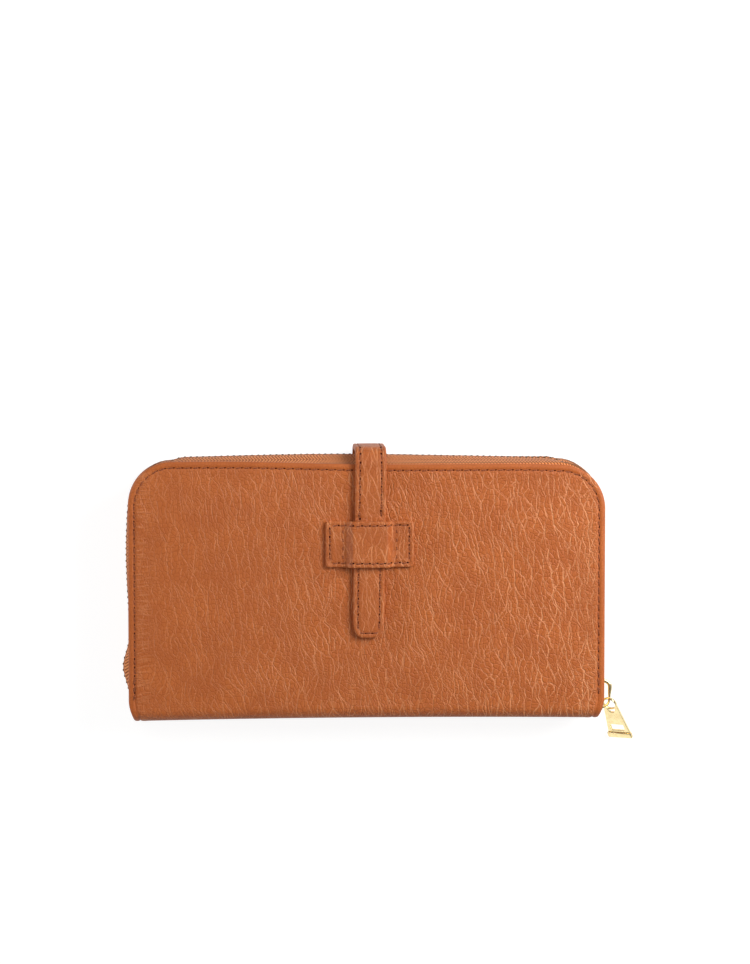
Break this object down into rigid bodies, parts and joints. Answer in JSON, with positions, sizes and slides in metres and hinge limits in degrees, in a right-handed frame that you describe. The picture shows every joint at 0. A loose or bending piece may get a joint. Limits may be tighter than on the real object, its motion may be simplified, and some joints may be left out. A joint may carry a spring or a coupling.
{
  "type": "zip around wallet",
  "caption": "Long zip around wallet in grained leather with a strap and keeper across the front, card pockets, and a zipped coin pocket in the middle.",
  "frame": {"origin": "on the outer face of the back cover, at the middle of its length, 53.5 mm from the spine's outer face", "axes": "+X along the length, towards the slider at rest; +Y from the spine to the top of the zip; +Z from the back cover to the front cover"},
  "size_m": [0.2093, 0.1237, 0.0299],
  "materials": {
    "outer_leather": "tumbled pebble grain, satin",
    "inner_leather": "smooth, satin",
    "lining": "plain weave, matt",
    "gusset": "plain weave, matt",
    "board": "pressed board",
    "zip_tape": "herringbone tape, matt",
    "zip_metal": "antiqued brass",
    "gold_metal": "polished pale gold plate",
    "thread": "waxed thread"
  },
  "bodies": {
    "back_cover": {"back_panel": "outer_leather", "back_stiffener": "board", "back_lining": "lining", "back_card_backing": "inner_leather", "back_card_pocket_1": "inner_leather", "back_card_pocket_2": "inner_leather", "back_card_pocket_3": "inner_leather", "back_card_pocket_4": "inner_leather", "back_stitching": "thread", "back_zip_tape": "zip_tape", "back_zip_teeth": "zip_metal", "zip_bottom_stop": "zip_metal", "back_gusset_left": "gusset", "back_gusset_right": "gusset"},
    "centre": {"spine_panel": "outer_leather", "spine_lining": "lining", "coin_pocket_back_wall": "inner_leather", "coin_pocket_front_wall": "inner_leather", "coin_zip_back_tape": "zip_tape", "coin_zip_front_tape": "zip_tape", "coin_zip_back_teeth": "zip_metal", "coin_zip_front_teeth": "zip_metal", "coin_zip_end_stops": "zip_metal"},
    "front_cover": {"front_panel": "outer_leather", "front_stiffener": "board", "front_lining": "lining", "front_card_backing": "inner_leather", "front_card_pocket_1": "inner_leather", "front_card_pocket_2": "inner_leather", "front_card_pocket_3": "inner_leather", "front_card_pocket_4": "inner_leather", "front_stitching": "thread", "front_zip_tape": "zip_tape", "front_zip_teeth": "zip_metal", "keeper_outer": "outer_leather", "keeper_lining": "outer_leather", "keeper_stitching": "thread", "front_gusset_left": "gusset", "front_gusset_right": "gusset"},
    "strap": {"strap_outer": "outer_leather", "strap_lining": "outer_leather", "strap_stitching": "thread"},
    "zip_slider": {"zip_slider_body": "gold_metal", "zip_slider_bridge": "gold_metal"},
    "zip_pull": {"zip_pull_tab": "gold_metal"},
    "coin_slider": {"coin_slider_body": "gold_metal", "coin_slider_bridge": "gold_metal"},
    "coin_pull": {"coin_pull_tab": "gold_metal"}
  },
  "joints": [
    {"name": "back_fold", "type": "hinge", "parent": "back_cover", "child": "centre", "pos_m": [0, -0.0545, 0], "axis": [1, 0, 0], "range_deg": [0, 45], "deforming": ["back_gusset_left", "back_gusset_right", "strap_outer", "strap_lining", "strap_stitching"]},
    {"name": "front_fold", "type": "hinge", "parent": "centre", "child": "front_cover", "pos_m": [0, -0.0545, 0.025], "axis": [1, 0, 0], "range_deg": [0, 45], "deforming": ["front_gusset_left", "front_gusset_right"]},
    {"name": "strap_slide", "type": "slide", "parent": "back_cover", "child": "strap", "axis": [0, 1, 0], "range_m": [0, 0.05]},
    {"name": "zip_slide", "type": "slide", "parent": "back_cover", "child": "zip_slider", "axis": [0, 1, 0], "range_m": [0, 0.072]},
    {"name": "pull_swing", "type": "hinge", "parent": "zip_slider", "child": "zip_pull", "pos_m": [0.1009, -0.0495, 0.0125], "axis": [0, -1, 0], "range_deg": [0, 122]},
    {"name": "coin_slide", "type": "slide", "parent": "centre", "child": "coin_slider", "axis": [-1, 0, 0], "range_m": [0, 0.145]},
    {"name": "coin_pull_swing", "type": "hinge", "parent": "coin_slider", "child": "coin_pull", "pos_m": [0.074, 0.0372, 0.0125], "axis": [1, 0, 0], "range_deg": [0, 104]}
  ],
  "couplings": [
    {"joint": "front_fold", "follows": "back_fold", "ratio": 1}
  ]
}
